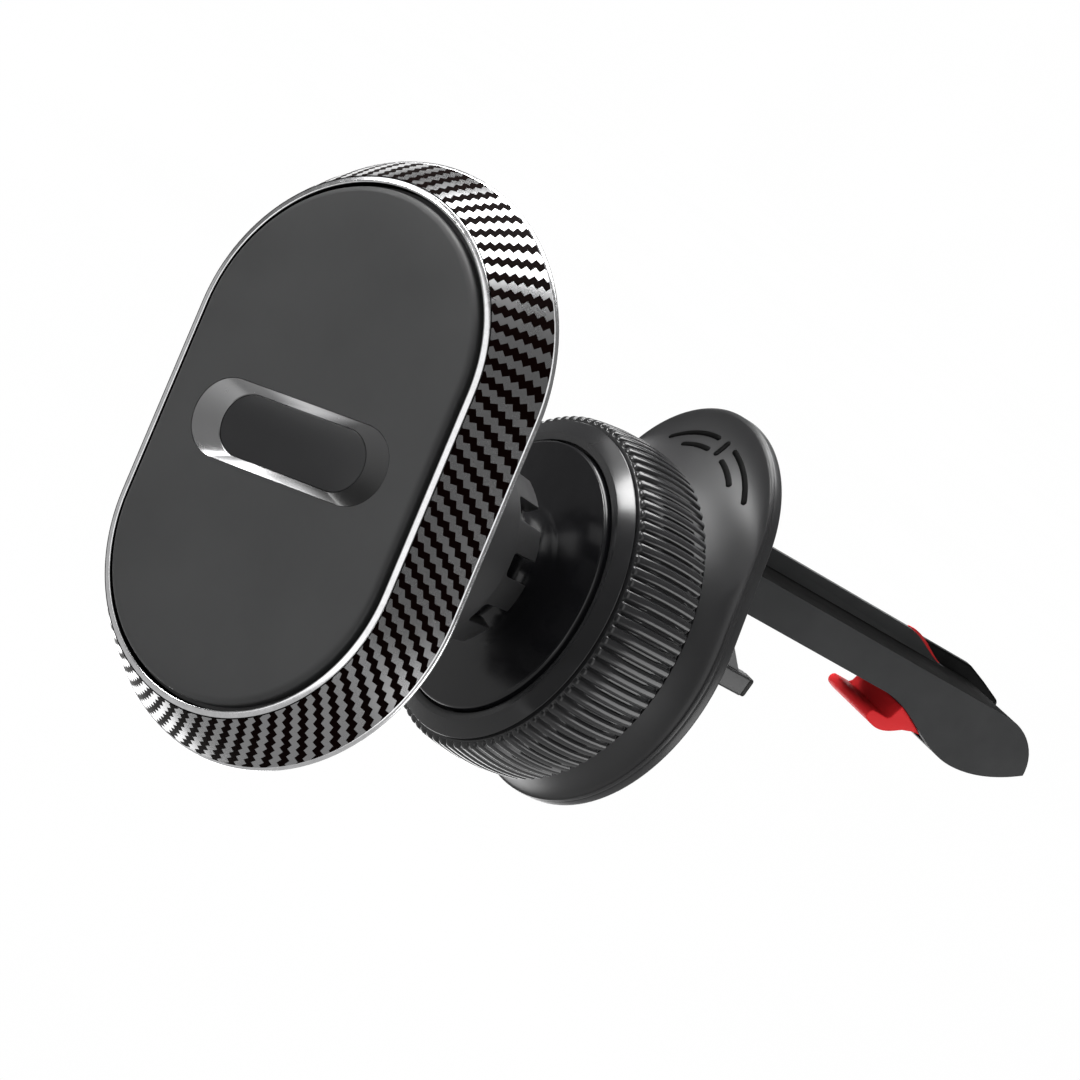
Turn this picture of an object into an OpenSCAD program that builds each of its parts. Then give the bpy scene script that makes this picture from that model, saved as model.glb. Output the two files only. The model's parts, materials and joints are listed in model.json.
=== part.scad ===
// Magnetic phone mount that clamps to the blade of a car's air vent.
// Frame: origin on the knob's axis, in the plane where the two feet press on the
// vent. +Y runs into the vent, -Y faces the driver, +X is to the right and +Z is up.
// Most sub-parts are drawn in a working frame with Z along their own axis:
// knob_frame() has Z towards the driver and Y up, and head_frame_pose() has Z along
// the head's front normal, with its origin at the centre of the ball.

/* [Head] */
// Half the length of the head's straight sides
head_half = 11.4; // [9:0.1:14]
// Corner radius of the head at its front rim
front_r = 19.35; // [18.5:0.05:20]
// Corner radius of the head at its rear rim
rear_r = 23.7; // [23:0.1:25]
// Depth of the flared side wall, front rim to rear rim
flare_depth = 7.4; // [7:0.1:8]
// How far the soft pad stands in front of the rim
pad_raise = 0.8; // [0.5:0.1:1.2]
// Half the straight length of the slot-shaped badge in the pad
badge_half = 9.1; // [7:0.1:10]
// End radius of the badge's bright trim
badge_r = 4.6; // [4:0.1:5]

/* [Ball joint] */
// Radius of the ball
ball_r = 11; // [10.8:0.05:11.1]
// Distance from the ball's centre to the head's front rim
reach = 30.6; // [30:0.1:33]
// How far the socket sits below the middle of the head
socket_drop = 2.2; // [0:0.1:3]
// Turn of the head to the right, as stored
head_yaw = 20.3; // [0:0.1:25]
// Forward lean of the head, as stored
head_pitch = -2.9; // [-8:0.1:8]
// Roll of the head about its own normal, as stored
head_roll = -16.8; // [-90:0.1:90]
// Number of fingers on the socket's collet
fingers = 12; // [8:1:14]

/* [Knob] */
// Largest radius of the ribbed grip
grip_r = 21.8; // [21.4:0.1:22.2]
// Number of ribs on the grip
ribs = 90; // [60:1:100]
// Radius of the fixed disc in front of the knob
disc_r = 17; // [16.8:0.1:17.1]

/* [Vent clamp] */
// Width of the hook arm
arm_w = 11; // [9:0.5:11]
// Height of the hook arm's section
arm_h = 4.9; // [4.5:0.1:5]
// Height of the arm's underside above the knob's axis
arm_low = 10.9; // [10.8:0.1:11]
// Distance from the feet's tips to the end of the hook
hook_reach = 55.4; // [54:0.1:57]
// Distance of each foot from the middle
foot_x = 14; // [13:0.5:15]

/* [Hidden] */
$fn = 96;

eps = 0.01;
fit = 0.06;                   // radial clearance of a running fit
// Stations along the knob's axis, in front of the feet's tips
plate_rear = 9.8;
plate_seam = 11.2;
plate_front = 15.6;
washer_t = 0.4;
nut_rear = 16.2;
nut_front = 25.3;
disc_rear = 25.6;
bezel_z = 28;
disc_z = 28.65;
ball_z = 40;
// Knob
bezel_in = disc_r + 0.3;
bezel_flat = 18.3;
bezel_out = 20.2;
grip_front = 26.7;
grip_rear = nut_rear;
nut_r = 19.3;
thread_r = 15.6;
thread_pitch = 1.4;
hub_r = 9;
bolt_r = 2;
// Support plate outline: a round base and a tab that reaches upwards
base_r = 22.2;
tab_r = 17;
tab_z = 13.3;
neck_plate_r = 20.4;
well_r = 15.8;
// Hook
arm_top = arm_low + arm_h;
swell = 4.3;                  // how far the hook's nose dips below the arm
carrier_z = 17;
carrier_t = 4;
lug_w = 9;
lug_low = 11.4;
lug_rear = 3;
tongue_rear = -9;
tongue_w = 6;
tongue_low = 12.2;
tongue_top = 14.6;
rail_t = 1.2;
rail_top = 18;
jaw_w = 10;
jaw_y = 27;                   // front edge of the jaw's lip, behind the feet's tips
slot_floor = 8;
pin_z = 12.2;
// Head stations along the head's normal, counted from the front rim
pad_r = 18.1;
sleeve_t = 1.1;
cover_back = 11;
flange_r = 16;
flange_t = 1.8;
collet_r = 12.9;
collet_tip_r = 12.4;
tip_past = 4;                 // how far the fingertips reach past the ball's centre
slot_len = 5.7;
slot_w = 2.9;
seat_t = 0.9;
seat_w = 5;
cushion_r = 8.6;
cushion_back = 14.5;
tray_r = 18.1;
tray_floor = 5.4;
collet_screw_r = 14.4;
magnet_r = 4.4;
magnet_t = 2.4;
magnet_spots = [
    [-9.5, 13], [9.5, 13], [-9.5, -13], [9.5, -13],
    [0, 23], [0, -23], [-13, 0], [13, 0]
];
screw_spots = [[-13, 16], [13, 16], [-13, -16], [13, -16]];

// ---- frames ----
module knob_frame() {
    rotate([90, 0, 0]) children();
}

module head_frame_pose() {
    translate([0, -ball_z, 0]) rotate([0, 0, head_yaw]) rotate([head_pitch, 0, 0])
        rotate([0, head_roll, 0]) rotate([90, 0, 0]) children();
}

// The head's own frame: origin at the middle of the front rim's plane
module head_front() {
    head_frame_pose() translate([0, socket_drop, reach]) children();
}

// ---- shared shapes ----
// Carries a half profile (x is the distance from the path, y the height) round a
// stadium whose straight sides run along Y
module around_stadium(half) {
    for (side = [0, 180])
        rotate([0, 0, side]) {
            translate([0, half, 0]) rotate_extrude(angle = 180) children();
            translate([0, half, 0]) rotate([90, 0, 0]) linear_extrude(2 * half) children();
        }
}

module slab(half, r, z0, z1) {
    translate([0, 0, z0]) linear_extrude(z1 - z0) stadium_outline(half, r);
}

module stadium_outline(half, r) {
    union() {
        translate([-r, -half]) square([2 * r, 2 * half]);
        translate([0, half]) circle(r);
        translate([0, -half]) circle(r);
    }
}

module tube(r_out, r_in, z0, z1) {
    translate([0, 0, z0]) difference() {
        cylinder(r = r_out, h = z1 - z0);
        translate([0, 0, -1]) cylinder(r = r_in, h = z1 - z0 + 2);
    }
}

// A screw that points up, with the underside of its head at height 0
module screw(r, head_r, head_h, length) {
    recess = head_h * 0.6;
    difference() {
        union() {
            translate([0, 0, -head_h]) cylinder(r = head_r, h = head_h);
            translate([0, 0, -head_h / 2]) cylinder(r = r, h = head_h / 2 + length);
        }
        translate([0, 0, -head_h - 1]) cylinder(r = head_r * 0.45, h = recess + 1, $fn = 6);
    }
}

// ---- head ----
module phone_pad() {
    edge = 0.7;
    color("#303234") head_front() difference() {
        around_stadium(head_half) polygon([
            [0, -1], [pad_r, -1], [pad_r, pad_raise - edge],
            [pad_r - edge * 0.29, pad_raise - edge * 0.29], [pad_r - edge, pad_raise], [0, pad_raise]
        ]);
        rotate([0, 0, 90]) slab(badge_half, badge_r, -2, 2);
    }
}

module badge_trim() {
    inner_r = badge_r - 1;
    inner_half = 6.5;
    color("silver") head_front() rotate([0, 0, 90]) difference() {
        slab(badge_half, badge_r - 0.02, -1, pad_raise - 0.05);
        hull() {
            slab(badge_half, badge_r - 0.25, pad_raise, pad_raise + 0.1);
            slab(inner_half, inner_r, 0, 0.1);
        }
        slab(inner_half, inner_r, -2, 1);
    }
}

module badge_insert() {
    color("#26282a") head_front() rotate([0, 0, 90]) slab(6.5, badge_r - 1.02, -1, 0.1);
}

module front_rim() {
    color("silver") head_front() around_stadium(head_half) polygon([
        [18.7, -1.6], [18.7, -0.15], [18.8, 0], [19.2, 0], [front_r, -0.15], [front_r, -1.6]
    ]);
}

// Outer corner radius of the side wall at a depth behind the front rim
function flare_r(d) = front_r + (rear_r - 0.3 - front_r) * d / (flare_depth - 0.5);

module carbon_sleeve() {
    color("#2a2b2d") head_front() around_stadium(head_half) polygon([
        [front_r + 0.02, -0.3], [flare_r(3.4) + 0.15, -3.4], [rear_r - 0.3, -flare_depth + 0.5],
        [rear_r - 0.3 - sleeve_t, -flare_depth + 0.5], [front_r + 0.02, -1.65]
    ]);
}

module rear_rim() {
    color("silver") head_front() around_stadium(head_half) polygon([
        [rear_r - 1.6, -flare_depth - 0.3], [rear_r - 0.25, -flare_depth - 0.3],
        [rear_r, -flare_depth], [rear_r - 0.05, -flare_depth + 0.3],
        [rear_r - 0.3, -flare_depth + 0.49], [rear_r - 1.6, -flare_depth + 0.49]
    ]);
}

module magnet_tray() {
    color("#1c1d1f") head_front() difference() {
        slab(head_half, tray_r + 0.4, -tray_floor - 1.2, -1.02);
        for (p = magnet_spots) translate([p[0], p[1], -3.6]) cylinder(r = magnet_r + 0.05, h = 5);
        slab(head_half, tray_r - 0.6, -tray_floor - 2, -tray_floor);
        for (p = screw_spots) translate([p[0], p[1], -8]) cylinder(r = 0.95, h = 5);
    }
}

module magnets() {
    color("#b9bcc0") head_front() for (p = magnet_spots)
        translate([p[0], p[1], -3.55]) cylinder(r = magnet_r, h = magnet_t);
}

module yoke_plate() {
    color("#8d9196") head_front() difference() {
        slab(head_half, tray_r - 0.65, -tray_floor - 1, -tray_floor - 0.02);
        for (p = screw_spots) translate([p[0], p[1], -8]) cylinder(r = 1.3, h = 5);
    }
}

module rear_cover() {
    color("#202123") head_front() difference() {
        around_stadium(head_half) polygon([
            [0, -6.7], [rear_r - 1.65, -6.7], [rear_r - 1.65, -8.2], [rear_r - 3.4, -9.6],
            [rear_r - 7, -cover_back], [0, -cover_back]
        ]);
        translate([0, -socket_drop, -12]) cylinder(r = collet_r + 0.05, h = 8);
        translate([0, -socket_drop, -6.7 - flange_t]) {
            cylinder(r = flange_r + 0.05, h = 4);
            for (a = [45:90:315]) rotate([0, 0, a]) translate([collet_screw_r, 0, -1.6])
                cylinder(r = 0.75, h = 2);
        }
        for (p = screw_spots) translate([p[0], p[1], -13]) {
            cylinder(r = 1.2, h = 9);
            cylinder(r = 2.05, h = 3.6);
        }
    }
}

module head_screws() {
    color("silver") head_front() for (p = screw_spots)
        translate([p[0], p[1], -9.4]) screw(0.9, 1.9, 1.3, 5.2);
}

// The petal collet that grips the ball, with its flange caught inside the rear cover
module socket_collet() {
    root = reach - 6.7;
    color("#1d1e20") head_frame_pose() difference() {
        union() {
            translate([0, 0, root - flange_t]) cylinder(r = flange_r, h = flange_t);
            rotate_extrude() polygon([
                [0, root - 1], [collet_r, root - 1], [collet_r, 2],
                [collet_tip_r, -tip_past + 0.4], [collet_tip_r - 0.4, -tip_past], [0, -tip_past]
            ]);
        }
        sphere(r = ball_r + fit);
        intersection() {
            sphere(r = ball_r + seat_t + 0.3);
            translate([0, 0, 6.6]) cylinder(r = collet_r - 1.6, h = 10);
        }
        translate([0, 0, 7]) cylinder(r = cushion_r + fit, h = cushion_back - 7 + fit);
        for (i = [0:fingers - 1]) rotate([0, 0, 360 / fingers * i])
            finger_slot();
        for (a = [45:90:315]) rotate([0, 0, a]) translate([collet_screw_r, 0, root]) {
            translate([0, 0, -4]) cylinder(r = 0.75, h = 6);
            translate([0, 0, -0.6]) cylinder(r = 1.3, h = 1);
        }
    }
}

// One slot between fingers: open at the tips, with rounded corners at its root
module finger_slot() {
    corner = 0.7;
    rotate([90, 0, 90]) translate([0, 0, 7]) linear_extrude(8) union() {
        translate([-slot_w / 2, -tip_past - 1]) square([slot_w, slot_len + 1 - corner]);
        translate([-slot_w / 2 + corner, -tip_past - 1]) square([slot_w - 2 * corner, slot_len + 1]);
        for (s = [-1, 1]) translate([s * (slot_w / 2 - corner), slot_len - tip_past - corner])
            circle(corner);
    }
}

module collet_screws() {
    root = reach - 6.7;
    color("silver") head_frame_pose() for (a = [45:90:315]) rotate([0, 0, a])
        translate([collet_screw_r, 0, root - 0.58]) rotate([180, 0, 0]) screw(0.7, 1.2, 0.5, 2.6);
}

module ball_seat() {
    color("#3a3b3d") head_frame_pose() difference() {
        intersection() {
            sphere(r = ball_r + seat_t);
            cylinder(r = seat_w, h = 20);
        }
        sphere(r = ball_r + fit);
    }
}

module seat_cushion() {
    color("#55585c") head_frame_pose() difference() {
        translate([0, 0, 8.9]) cylinder(r = cushion_r, h = cushion_back - 8.9);
        sphere(r = ball_r + seat_t + fit);
    }
}

// ---- fixed base ----
// Ball, flared neck and disc in one piece
module ball_stud() {
    neck = 5.4;
    flare = 8.2;
    color("#18191a") knob_frame() difference() {
        union() {
            translate([0, 0, ball_z]) sphere(r = ball_r);
            translate([0, 0, disc_z]) difference() {
                translate([0, 0, -eps]) cylinder(r = flare + 1.6, h = 3.4);
                translate([0, 0, 3.4]) rotate_extrude() translate([flare + 0.6, 0]) circle(r = 3.3);
                tube(flare + 4, flare + 0.6, 0.02, 5);
            }
            rotate_extrude() polygon([
                [0, disc_rear], [disc_r, disc_rear], [disc_r, disc_z - 0.35],
                [disc_r - 0.12, disc_z - 0.1], [disc_r - 0.4, disc_z], [0, disc_z]
            ]);
            translate([0, 0, disc_z]) cylinder(r = neck, h = 3);
        }
        translate([0, 0, disc_rear - 1]) cylinder(r = bolt_r + 0.02, h = 9);
    }
}

module hub() {
    color("#232426") knob_frame() tube(hub_r, bolt_r + 0.05, plate_seam, disc_rear);
}

module hub_bolt() {
    color("silver") knob_frame() translate([0, 0, plate_rear + 1]) screw(bolt_r, 3.4, 0.9, 21);
}

// Outline of the support plate, scaled from the neck (0) to the full rim (1)
module plate_outline(t) {
    hull() {
        circle(r = neck_plate_r + (base_r - neck_plate_r) * t, $fn = 64);
        translate([0, tab_z * t]) circle(r = neck_plate_r + (tab_r - neck_plate_r) * t, $fn = 64);
    }
}

// Hollow flank: a thin rim with draft, then a curve that steepens up to the ring under
// the knob; each layer is a share of the outline and a height above the seam
module support_plate() {
    steps = 6;
    skin = 0.05;
    rim_t = 0.5;
    rim_share = 0.94;
    rise = plate_front - plate_seam - rim_t;
    layers = concat([[1, skin]], [
        for (k = [0:steps])
            [rim_share * (1 - k / steps), rim_t + rise * pow(k / steps, 2)]
    ]);
    color("#1e1f21") knob_frame() difference() {
        for (i = [0:steps]) hull() for (k = [i, i + 1])
            translate([0, 0, plate_seam + layers[k][1] - skin])
                linear_extrude(skin) plate_outline(layers[k][0]);
        translate([0, 0, 5]) cylinder(r = well_r, h = 15);
        for (a = [45:90:315]) rotate([0, 0, a]) translate([18.2, 0, 9])
            cylinder(r = 0.85, h = 5);
    }
}

module back_plate() {
    slot_gap = 0.5;
    color("#2a2b2d") knob_frame() {
        difference() {
            translate([0, 0, plate_rear]) linear_extrude(plate_seam - plate_rear) plate_outline(1);
            translate([-lug_w / 2 - slot_gap, lug_low - slot_gap, 0])
                cube([lug_w + 2 * slot_gap, thread_r - lug_low + 2 * slot_gap, 20]);
            translate([0, 0, 5]) cylinder(r = bolt_r + 0.05, h = 10);
            translate([0, 0, plate_rear - 1]) cylinder(r = 3.6, h = 2);
            for (a = [45:90:315]) rotate([0, 0, a]) translate([18.2, 0, plate_rear - 1]) {
                cylinder(r = 1, h = 5);
                cylinder(r = 1.9, h = 1.8);
            }
        }
        for (s = [-1, 1]) translate([s * foot_x, 0, 0]) foot();
    }
}

// A foot that presses on the vent, with a web that props it against the plate
module foot() {
    low = 3.5;
    high = 6;
    wide = 2.4;
    web = 1.3;
    translate([-wide / 2, low, 0.8]) cube([wide, high - low, plate_rear - 0.8 + eps]);
    translate([web / 2, 0, 0]) rotate([0, -90, 0]) linear_extrude(web)
        polygon([[2.2, high - 0.2], [plate_rear + eps, high - 0.2], [plate_rear + eps, 12]]);
}

module plate_screws() {
    color("silver") knob_frame() for (a = [45:90:315]) rotate([0, 0, a])
        translate([18.2, 0, plate_rear + 0.8]) screw(0.8, 1.75, 0.7, 2.9);
}

module foot_tips() {
    color("#121213") knob_frame() for (s = [-1, 1]) translate([s * foot_x, 4.75, 0])
        linear_extrude(0.8) square([2.3, 2.4], center = true);
}

module thrust_washer() {
    color("#d8d8d4") knob_frame()
        tube(nut_r - 0.3, well_r + 0.1, plate_front + 0.05, plate_front + 0.05 + washer_t);
}

// ---- knob ----
// Radius of the barrel-shaped grip at a height along the knob's axis
function barrel(z) = let (t = (z - grip_rear) / (grip_front - grip_rear))
    grip_r - 0.35 - 0.55 * pow(2 * t - 0.9, 2);

module grip_ring() {
    rib_r = 0.42;
    steps = 8;
    dz = (grip_front - grip_rear) / steps;
    color("#232425") knob_frame() difference() {
        union() {
            rotate_extrude() polygon(concat(
                [[nut_r + 0.02, grip_front], [nut_r + 0.02, grip_rear]],
                [for (i = [0:steps]) [barrel(grip_rear + i * dz) - 0.25, grip_rear + i * dz]]
            ));
            for (i = [0:ribs - 1]) rotate([0, 0, 360 / ribs * i]) grip_rib(rib_r);
        }
        translate([0, 0, grip_rear - 1]) cylinder(r = nut_r + 0.02, h = 20);
    }
}

// One rib: three straight bars that follow the barrel
module grip_rib(r) {
    stops = [grip_rear + 0.5, grip_rear + 4, grip_front - 4, grip_front - 0.5];
    rotate([90, 0, 0]) linear_extrude(2 * r, center = true) polygon(concat(
        [[nut_r + 0.5, stops[3]], [nut_r + 0.5, stops[0]]],
        [for (z = stops) [barrel(z) + 0.25, z]]
    ));
}

module knob_nut() {
    color("#1b1c1e") knob_frame() difference() {
        tube(nut_r, thread_r, nut_rear, nut_front);
        for (i = [0:5]) translate([0, 0, nut_rear + 1 + i * thread_pitch])
            tube(thread_r + 0.35, thread_r - 1, 0, 0.6);
    }
}

module knob_bezel() {
    color("#3a3b3c") knob_frame() rotate_extrude() polygon([
        [bezel_in, nut_front + 0.02], [nut_r, nut_front + 0.02], [nut_r, grip_front + 0.15],
        [bezel_out, grip_front + 0.15], [bezel_out, bezel_z - 1], [bezel_flat, bezel_z],
        [bezel_in + 0.1, bezel_z], [bezel_in, bezel_z - 0.1]
    ]);
}

// ---- hook ----
module hook_carrier() {
    color("#2b2c2e") knob_frame() {
        difference() {
            tube(thread_r - fit, hub_r + 0.2, carrier_z, carrier_z + carrier_t);
            for (i = [0:1]) translate([0, 0, carrier_z + 0.8 + i * thread_pitch])
                tube(thread_r + 1, thread_r - 0.4, 0, 0.8);
        }
        intersection() {
            translate([-lug_w / 2, lug_low, lug_rear]) cube([lug_w, 8, carrier_z - lug_rear + 1]);
            cylinder(r = thread_r - 0.3, h = 40);
        }
        difference() {
            translate([-tongue_w / 2, tongue_low, tongue_rear])
                cube([tongue_w, tongue_top - tongue_low, lug_rear - tongue_rear + eps]);
            for (z = [-6, -1]) translate([0, 0, z]) rotate([-90, 0, 0]) cylinder(r = 0.8, h = 20);
        }
    }
}

// Side outline of the hook: x is the distance behind the feet's tips, y the height
function s_curve(t) = (1 - cos(180 * t)) / 2;
function hook_underside(n) = [
    for (i = [0:n]) let (t = i / n) [27 + 16.5 * t, arm_low - swell * s_curve(t)]
];
function hook_belly(n) = [
    for (i = [1:n]) let (t = i / n) [43.5 + (hook_reach - 43.6) * t, arm_low - swell + 3.5 * t * t]
];
function hook_nose(n) = [
    for (i = [1:n]) let (a = 8 + 82 * i / n)
        [hook_reach - 8.4 + 8.4 * cos(a), arm_top - 6.6 + 6.6 * sin(a)]
];

module hook_outline() {
    polygon(concat(
        [[-lug_rear + 0.05, arm_top], [-lug_rear + 0.05, arm_low]],
        hook_underside(14), hook_belly(8), hook_nose(8)
    ));
}

// Stands a side outline up across the arm, from x0 to x1
module across(x0, x1) {
    translate([x0, 0, 0]) rotate([90, 0, 90]) linear_extrude(x1 - x0) children();
}

module hook_arm() {
    x0 = -arm_w / 2;
    color("#303133") difference() {
        union() {
            across(x0, arm_w / 2) hook_outline();
            across(x0, x0 + rail_t) polygon(concat(
                [[-lug_rear + 0.05, arm_top - 1], [-lug_rear + 0.05, rail_top], [33, rail_top]],
                [for (i = [1:8]) [33 + 9 * i / 8, rail_top - (rail_top - arm_top) * s_curve(i / 8)]],
                [[42, arm_top - 1]]
            ));
        }
        knob_frame() translate([-tongue_w / 2 - 0.05, tongue_low - 0.05, tongue_rear - 0.1])
            cube([tongue_w + 0.1, tongue_top - tongue_low + 0.1, 20]);
        for (y = [1, 6]) translate([0, y, 0]) {
            translate([0, 0, arm_low - 1]) cylinder(r = 1.7, h = 1.7);
            cylinder(r = 0.85, h = arm_top - 0.6);
        }
        jaw_pocket();
        jaw_pin_hole();
    }
}

// The groove that the jaw's stem sits in, behind the near side of the hook
module jaw_pocket() {
    across(-jaw_w / 2 + 0.6, jaw_w / 2 - 0.6)
        polygon([[jaw_y + 4.4, 5], [jaw_y + 4.4, 13.6], [jaw_y + 12, 13.6], [jaw_y + 12, 5]]);
}

// Far side cheek that backs the rail and holds the liner
module hook_cheek() {
    x0 = -arm_w / 2;
    color("#0d0d0e") difference() {
        across(x0 - 1.5, x0 - 0.02) polygon([
            [28, 11.6], [28, 15.4], [33.2, 17.6], [47, 17.6], [50.6, 16.6],
            [54.9, 15.2], [55, 10.6], [49.4, 8.2], [44.5, 7.2], [34, 10]
        ]);
        jaw_pin_hole();
    }
}

function jaw_underside(n) = [
    for (i = [0:n]) let (t = i / n)
        [jaw_y + 0.1 + 8.6 * t, 6.9 - 0.9 * sin(180 * min(1, t * 1.35)) + 1.4 * t * t]
];

// Soft red jaw: a U that faces the driver and takes the rear edge of a vent blade
module jaw() {
    color("#d81f26") difference() {
        union() {
            across(-jaw_w / 2, jaw_w / 2) difference() {
                union() {
                    polygon(concat(
                        [[jaw_y + 0.3, slot_floor - 0.2]], jaw_underside(8),
                        [[jaw_y + 8.9, 9.4], [jaw_y + 4, 10.4], [jaw_y + 4, slot_floor]]
                    ));
                    translate([jaw_y + 0.75, 7.3]) circle(r = 0.75);
                }
                translate([jaw_y - 1, slot_floor]) square([4.6, 6]);
                hook_outline();
            }
            across(-jaw_w / 2 + 0.65, jaw_w / 2 - 0.65) polygon([
                [jaw_y + 4.45, 8.6], [jaw_y + 4.45, 13.5], [jaw_y + 11.9, 13.5],
                [jaw_y + 11.9, 8.2], [jaw_y + 9, 7.9]
            ]);
        }
        jaw_pin_hole();
    }
}

// The pin goes in from the far side and stops inside the near side of the hook
module jaw_pin_hole() {
    translate([-arm_w, jaw_y + 9.6, pin_z]) rotate([0, 90, 0]) cylinder(r = 0.8, h = 1.5 * arm_w - 0.7);
}

module jaw_pin() {
    color("silver") translate([-arm_w / 2 - 1.5, jaw_y + 9.6, pin_z]) rotate([0, 90, 0])
        cylinder(r = 0.78, h = arm_w + 0.7);
}

module arm_screws() {
    color("silver") for (y = [1, 6]) translate([0, y, arm_low + 0.7]) screw(0.75, 1.6, 0.6, 3.4);
}

phone_pad();
badge_trim();
badge_insert();
front_rim();
carbon_sleeve();
rear_rim();
magnet_tray();
magnets();
yoke_plate();
rear_cover();
head_screws();
socket_collet();
collet_screws();
ball_seat();
seat_cushion();
ball_stud();
hub();
hub_bolt();
support_plate();
back_plate();
plate_screws();
foot_tips();
thrust_washer();
grip_ring();
knob_nut();
knob_bezel();
hook_carrier();
hook_arm();
hook_cheek();
jaw();
jaw_pin();
arm_screws();
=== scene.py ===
"""Looks for the magnetic vent phone mount: smooth meshes, materials, floor, light and camera."""
import json
import math

import bmesh
import bpy
from mathutils import Matrix, Vector


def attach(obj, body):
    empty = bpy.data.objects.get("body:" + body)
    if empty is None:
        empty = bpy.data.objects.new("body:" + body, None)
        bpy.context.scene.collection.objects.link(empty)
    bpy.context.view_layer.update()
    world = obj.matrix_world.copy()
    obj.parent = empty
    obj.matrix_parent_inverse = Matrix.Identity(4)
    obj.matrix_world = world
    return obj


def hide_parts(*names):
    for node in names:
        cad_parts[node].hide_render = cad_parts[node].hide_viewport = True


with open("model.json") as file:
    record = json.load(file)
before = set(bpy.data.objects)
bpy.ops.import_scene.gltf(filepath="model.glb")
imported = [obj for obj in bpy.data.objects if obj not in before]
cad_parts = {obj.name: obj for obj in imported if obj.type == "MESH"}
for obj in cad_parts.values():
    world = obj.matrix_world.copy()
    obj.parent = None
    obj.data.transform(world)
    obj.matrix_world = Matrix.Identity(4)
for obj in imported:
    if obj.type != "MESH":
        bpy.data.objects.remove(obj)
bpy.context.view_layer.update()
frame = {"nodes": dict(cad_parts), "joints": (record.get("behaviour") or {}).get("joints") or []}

MM = 0.001
JOINTS = {joint["name"]: joint for joint in frame["joints"]}

# ---- where things are, in millimetres ----
# Knob frame: Z towards the driver along the knob's axis, Y up, origin at the feet's tips.
PLATE_REAR = 9.8
PLATE_SEAM = 11.2
PLATE_FRONT = 15.6
GRIP_REAR = 16.2
GRIP_FRONT = 26.7
DISC_REAR = 25.6
DISC_Z = 28.65        # front face of the disc
BALL_Z = 40.0         # centre of the ball
WELL_R = 15.8         # opening inside the support plate
# Head frame: origin in the middle of the front rim's plane, Z along the head's normal.
REACH = 30.6          # from the ball's centre to the front rim's plane
SOCKET_DROP = 2.2     # how far the ball sits below the head's middle
HEAD_ROLL = 16.8      # degrees
HALF = 11.4           # half of the straight side's length
FRONT_R = 19.35       # corner radius at the front rim
REAR_R = 23.7         # corner radius at the rear rim
WAY_R = 21.5          # corner radius at which the way round the head is measured
FLARE_DEPTH = 7.4
PAD_RAISE = 0.8
BADGE_HALF = 9.1
BADGE_R = 4.6
BALL_R = 11.0
TIP_PAST = 4.0        # how far the collet's fingers reach past the ball's centre
COVER_FRONT = -6.7
COVER_BACK = -11.0
WELL_X, WELL_Y = 13, 16
# Row frame: the CAD model's own axes, used for the arm, the hook and the jaw
ARM_LOW = 10.9
ARM_TOP = 15.8
ARM_W = 11.0
NOSE_Y = 47.0
RAIL_TOP = 18.0
FALL_Y, FALL_LENGTH = 33, 9     # where the rail starts to fall away, and over what length
JAW_Y = 27.0
JAW_W = 10.0


def knob_matrix():
    """Knob frame to row frame."""
    return Matrix(((1, 0, 0, 0), (0, 0, -1, 0), (0, 1, 0, 0), (0, 0, 0, 1)))


def socket_matrix():
    """Head frame to row frame, with its origin at the centre of the ball."""
    normal = Vector(JOINTS["head_spin"]["axis"]).normalized()
    right = Vector(JOINTS["head_pitch"]["axis"]).normalized()
    up = normal.cross(right)
    roll = math.radians(HEAD_ROLL)
    u = right * math.cos(roll) + up * math.sin(roll)
    v = normal.cross(u)
    ball = Vector(JOINTS["head_yaw"]["pos_m"]) / MM
    columns = Matrix((u, v, normal)).transposed().to_4x4()
    return Matrix.Translation(ball) @ columns


KNOB = knob_matrix()
SOCKET = socket_matrix()
HEAD = SOCKET @ Matrix.Translation((0, SOCKET_DROP, REACH))
ROW = Matrix.Identity(4)


# ---- shapes as (points, faces) in millimetres ----
def rounded(corners, segments=5):
    """A closed outline from (x, y, radius) corners, each rounded to its radius."""
    outline = []
    count = len(corners)
    for i, (x, y, radius) in enumerate(corners):
        here = Vector((x, y))
        before = Vector(corners[i - 1][:2]) - here
        after = Vector(corners[(i + 1) % count][:2]) - here
        if radius <= 0 or before.length < 1e-9 or after.length < 1e-9:
            outline.append((x, y))
            continue
        a, b = before.normalized(), after.normalized()
        half_angle = math.acos(max(-1.0, min(1.0, a.dot(b)))) / 2
        if half_angle > math.radians(88):
            outline.append((x, y))
            continue
        back = min(radius / math.tan(half_angle), 0.49 * before.length, 0.49 * after.length)
        true_radius = back * math.tan(half_angle)
        centre = here + (a + b).normalized() * (true_radius / math.sin(half_angle))
        start, end = here + a * back - centre, here + b * back - centre
        swing = math.atan2(start.x * end.y - start.y * end.x, start.dot(end))
        for k in range(segments + 1):
            turn = Matrix.Rotation(swing * k / segments, 2)
            outline.append(tuple(centre + turn @ start))
    return outline


def stations_round(count):
    """Unit steps round a circle: (cos, sin, centre offset along Y, way round from 0 to 1)."""
    return [(math.cos(2 * math.pi * k / count), math.sin(2 * math.pi * k / count), 0.0, k / count)
            for k in range(count)]


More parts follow.
